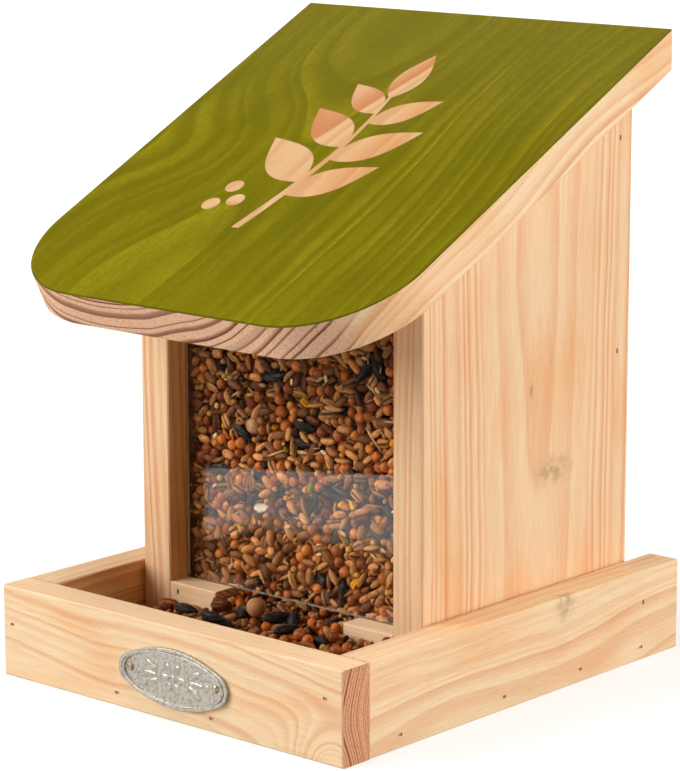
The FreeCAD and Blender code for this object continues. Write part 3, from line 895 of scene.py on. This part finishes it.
LARGE_SEEDS = (
    ("sunflower", (-32, -54, 30.5), (1.0, 0.05, -0.02)),
    ("sunflower", (-12, -60, 31.5), (1.0, 0.1, -0.05)),
    ("sunflower", (4, -40, 29.0), (0.5, 0.8, 0.0)),
    ("sunflower", (-14, -43, 29.0), (0.8, -0.6, 0.0)),
    ("sunflower", (16, -50, 29.0), (0.3, 0.9, 0.0)),
    ("kibble", (-23, -44, 31.5), (1.0, 0.1, 0.1)),
    ("pea", (-6, -43.5, 33.5), (1, 0, 0)),
    ("pumpkin", (-19.6, -24.3, 66.5), (1.0, 0.0, 0.15)),
    ("maize", (19.6, -23.8, 73.0), (0.7, 0.0, -0.5)),
    ("maize", (27.0, -23.8, 46.0), (0.5, 0.0, 0.6)),
    ("sunflower", (-12.0, -24.0, 118.0), (1.0, 0.0, 0.3)),
    ("sunflower", (2.0, -24.0, 97.0), (1.0, 0.0, -0.5)),
)
PACKING = 0.62
ROUNDS = 150
# Lengths in millimetres.
SINK = 0.03
BOARD = 14.0
PILE_TOP = 34.0
FRONT_DEPTH = 10.0
SILO_LEVEL = 150.0
TOP_WAVE = 3.0
HEADROOM = 12.0
# The strips of painted shadow in the pane's corners.
STRIP_DEPTH = 1.8
STRIP_DROP = 6.0
CORE_TOP = 142.0
CLEAR = 0.1
OVERLAP = 1.5
pour_all(make_crowd())
# One dark material of painted shade, for the deep bed and for the strips of painted shadow in the corners.
deep_seed_shade = packed_skin()
packed_middle(deep_seed_shade)
shadow_strips_in_corners(deep_seed_shade)


# Pane

def clear_pane():
    """Clear acrylic with a rougher, grey strip along its lower edge that shows as a painted glint line. It
    lets the lamps' light through to the seeds.
    """
    material, tree, skin, output = new_material("clear_acrylic")
    skin.inputs["Transmission Weight"].default_value = 1.0
    skin.inputs["IOR"].default_value = 1.49
    here = add(tree, "TexCoord").outputs["Object"]
    smear = noise(tree, here, 60.0, 2.0)
    low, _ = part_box("front_window")
    height = add(tree, "SeparateXYZ", {0: here}).outputs[2]
    # A painted glint line along the lower edge: a rougher strip tinted grey.
    edge = ease(tree, height, low.z + GLINT_LINE_HEIGHT * MM, low.z + GLINT_LINE_HEIGHT / 2 * MM)
    glint_rough = maths(tree, "MULTIPLY", edge, 0.4)
    rough = maths(tree, "MAXIMUM", ease(tree, smear, 0.35, 0.75, 0.0, 0.05), glint_rough)
    paint(tree, skin, blend(tree, edge, (0.97, 0.98, 0.97, 1.0), GLINT_LINE_GREY), rough)
    clear = add(tree, "BsdfTransparent", {"Color": (0.95, 0.96, 0.95, 1.0)})
    shadow = add(tree, "LightPath").outputs["Is Shadow Ray"]
    both = add(tree, "MixShader", {0: shadow, 1: skin.outputs[0], 2: clear.outputs[0]})
    link(tree, both.outputs[0], output.inputs["Surface"])
    dress("front_window", material)


# The grey and the height of the painted glint line along the pane's lower edge.
GLINT_LINE_GREY = shade(98, 88, 76)
GLINT_LINE_HEIGHT = 0.5
clear_pane()


# Metal

def make_worn_metal():
    """Dull patches and fine pits on cast or plated metal."""
    tree, given, wanted = new_group(
        "worn metal",
        {"Place": "Vector", "Clean": "Color", "Dull": "Color", "Patch Size": "Float"},
        {"Color": "Color", "Roughness": "Float", "Height": "Float"},
    )
    patches = noise(tree, given["Place"], maths(tree, "DIVIDE", 1.0, given["Patch Size"]), 3.0, 0.6)
    pits = noise(tree, given["Place"], 2600.0, 2.0, 0.6)
    dull = maths(tree, "MAXIMUM", ease(tree, patches, 0.42, 0.66), ease(tree, pits, 0.60, 0.72))
    link(tree, blend(tree, dull, given["Clean"], given["Dull"]), wanted["Color"])
    link(tree, ease(tree, dull, 0.0, 1.0, 0.30, 0.46), wanted["Roughness"])
    link(tree, maths(tree, "ADD", pits, maths(tree, "MULTIPLY", patches, 0.8)), wanted["Height"])
    return tree


def metal(name, clean, dull, patch_size, depth):
    """A metal finish from two colours. The size of the patches and the pits' depth are in millimetres."""
    material, tree, skin, _ = new_material(name)
    here = add(tree, "TexCoord").outputs["Object"]
    worn = use_group(tree, worn_metal, {
        "Place": here, "Clean": clean, "Dull": dull, "Patch Size": patch_size * MM,
    })
    paint(tree, skin, worn["Color"], worn["Roughness"])
    skin.inputs["Metallic"].default_value = 1.0
    emboss(tree, skin, worn["Height"], 0.5, depth * MM)
    return material


def cast_detail(name, shape, finish):
    """Keeps a raised detail of the plaque as a smooth piece."""
    mesh = keep_shape(name, shape)
    for face in mesh.polygons:
        face.use_smooth = True
    piece = show(name, mesh, finish)
    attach(piece, "feeder")


def plaque_relief(finish):
    """A generic cast ornament on the plaque's field: a rosette between two leafy sprays."""
    low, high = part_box("oval_plaque")
    middle = (low + high) / 2
    field = low.y + 0.6 * MM
    shape = bmesh.new()

    def boss(across, height, long, wide, turn):
        spot = Matrix.Translation((middle.x + across * MM, field, middle.z + height * MM))
        size = Matrix.Diagonal((long * MM / 2, BOSS_HEIGHT * MM, wide * MM / 2, 1.0))
        bmesh.ops.create_icosphere(shape, subdivisions=2, radius=1.0,
                                   matrix=spot @ Matrix.Rotation(turn, 4, "Y") @ size)

    boss(0, 0, 3.2, 3.2, 0)
    for petal in range(6):
        angle = math.tau * petal / 6
        boss(4.1 * math.cos(angle), 4.1 * math.sin(angle), 4.6, 2.7, -angle)
    for side in (-1, 1):
        boss(side * 11.4, 0, 8.0, 2.2, 0)
        boss(side * 10.6, 3.1, 7.6, 2.6, -side * 0.5)
        boss(side * 10.6, -3.1, 7.6, 2.6, side * 0.5)
        boss(side * 17.2, 0, 2.4, 2.4, 0)
    cast_detail("plaque_relief", shape, finish)


def plaque_bead(finish):
    """The raised line just inside the plaque's rim."""
    low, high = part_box("oval_plaque")
    middle = (low + high) / 2
    reach = (high - low) / 2
    long, tall = reach.x - 2.3 * MM, reach.z - 1.7 * MM
    shape = bmesh.new()
    ring = bmesh.ops.create_circle(shape, segments=10, radius=0.6 * MM,
                                   matrix=Matrix.Translation((long, 0, 0)))
    bmesh.ops.spin(shape, geom=ring["verts"] + shape.edges[:], cent=(0, 0, 0), axis=(0, 1, 0),
                   angle=math.tau, steps=96, use_merge=True)
    bmesh.ops.remove_doubles(shape, verts=shape.verts, dist=0.001 * MM)
    bmesh.ops.scale(shape, vec=(1, 1, tall / long), verts=shape.verts)
    bmesh.ops.translate(shape, verts=shape.verts, vec=(middle.x, low.y + 0.35 * MM, middle.z))
    cast_detail("plaque_bead", shape, finish)


BOSS_HEIGHT = 0.4
worn_metal = make_worn_metal()
zinc = metal("cast_zinc_worn", shade(188, 184, 174), shade(154, 149, 137), 1.3, 0.18)
steel = metal("plated_steel", shade(190, 187, 180), shade(164, 158, 148), 3.0, 0.02)
nail_steel = metal("nail_steel_dull", shade(172, 156, 122), shade(116, 100, 70), 0.8, 0.03)
dress("oval_plaque", zinc)
plaque_relief(zinc)
plaque_bead(zinc)
brass = metal("brassed_steel", shade(186, 168, 138), shade(84, 68, 50), 1.2, 0.02)
dress("plaque_pins", brass)
for part in ("roof_leaves", "back_leaves", "pins", "roof_screws", "back_screws"):
    dress("hinge_" + part, steel)
for place in ("front_board", "right_board", "left_board", "right_panel", "left_panel", "window_block"):
    dress(place + "_nails", nail_steel)


# Stage, light and camera

def sheet(name, corners, material):
    """A flat four-sided stage piece."""
    shape = bmesh.new()
    shape.faces.new([shape.verts.new(corner) for corner in corners])
    return show(name, keep_mesh(name, shape), material)


def matt(skin, grey):
    """Makes a surface an even grey without any gloss."""
    skin.inputs["Base Color"].default_value = (grey, grey, grey, 1.0)
    skin.inputs["Roughness"].default_value = 1.0
    skin.inputs["Specular IOR Level"].default_value = 0.0


def seen_directly(tree):
    """1 for rays from the camera, off gloss and through clear plastic, and 0 for light on the object."""
    path = add(tree, "LightPath").outputs
    seen = maths(tree, "MAXIMUM", path["Is Camera Ray"], path["Is Glossy Ray"])
    return maths(tree, "MAXIMUM", seen, path["Is Transmission Ray"])


def white_floor():
    """A white floor that keeps the object's soft shadow."""
    material, tree, skin, output = new_material("floor_white")
    matt(skin, 0.50)
    away = measure(tree, "LENGTH", add(tree, "TexCoord").outputs["Object"])
    white = ease(tree, away, 0.3, 1.4, 0.58, 1.0)
    glow = add(tree, "Emission", {"Strength": maths(tree, "MULTIPLY", seen_directly(tree), white)})
    both = add(tree, "AddShader", {0: skin.outputs[0], 1: glow.outputs[0]})
    link(tree, both.outputs[0], output.inputs["Surface"])
    corners = [(x * FLOOR_REACH, y * FLOOR_REACH, 0) for x, y in ((-1, -1), (1, -1), (1, 1), (-1, 1))]
    sheet("floor", corners, material)


def pale_world():
    """Faint warm light from all round, seen as white."""
    world = bpy.data.worlds.new("studio")
    bpy.context.scene.world = world
    world.use_nodes = True
    tree = world.node_tree
    tree.nodes.clear()
    seen = seen_directly(tree)
    colour = blend(tree, seen, WARM_AIR, (1, 1, 1, 1))
    strength = ease(tree, seen, 0.0, 1.0, WORLD_LIGHT, 1.0)
    surround = add(tree, "Background", {"Color": colour, "Strength": strength})
    add(tree, "OutputWorld", {"Surface": surround.outputs[0]})


def softbox(name, place, side, watts):
    """A square lamp turned towards the object."""
    lamp = bpy.data.lights.new(name, "AREA")
    lamp.size = side
    lamp.energy = watts
    holder = bpy.data.objects.new(name, lamp)
    holder.location = place
    holder.rotation_euler = (Vector(LAMP_AIM) - Vector(place)).to_track_quat("-Z", "Y").to_euler()
    bpy.context.scene.collection.objects.link(holder)


def photograph_camera():
    """The camera where the photograph's was, fitted to the boards' corners."""
    lens = bpy.data.cameras.new("camera")
    lens.lens = FOCAL_LENGTH
    lens.sensor_width = 36.0
    lens.clip_end = 30.0
    camera = bpy.data.objects.new("camera", lens)
    turn = (CAMERA_AIM - CAMERA_PLACE).to_track_quat("-Z", "Y").to_matrix()
    camera.rotation_euler = (turn @ Matrix.Rotation(CAMERA_ROLL, 3, "Z")).to_euler()
    camera.location = CAMERA_PLACE
    bpy.context.scene.collection.objects.link(camera)
    bpy.context.scene.camera = camera


def reflected_flag():
    """A dark card behind the white table at the left. It is seen in the pane's reflection alone."""
    material, _, skin, _ = new_material("flag_black")
    matt(skin, 0.02)
    left, right, tall = Vector((-0.65, -0.025, 0)), Vector((0.03, -0.425, 0)), Vector((0, 0, 0.09))
    card = sheet("flag", [left, right, right + tall, left + tall], material)
    card.visible_camera = card.visible_diffuse = card.visible_shadow = False


FLOOR_REACH = 9.0
WORLD_LIGHT = 0.19
WARM_AIR = (1.0, 0.66, 0.40, 1.0)
LAMP_AIM = (0, 0, 0.1)
FOCAL_LENGTH = 146.6
CAMERA_PLACE = Vector((0.76375, -0.86770, 0.34793))
CAMERA_AIM = Vector((0.00750, -0.01132, 0.11018))
CAMERA_ROLL = math.radians(-0.13)
white_floor()
pale_world()
reflected_flag()
softbox("front_left", (-1.2, -1.5, 0.9), 1.4, 38)
softbox("right_rear", (1.9, 0.8, 0.6), 1.4, 33)
softbox("overhead", (0.1, -0.2, 2.1), 1.2, 21)
photograph_camera()
bpy.context.scene.view_settings.view_transform = "Standard"
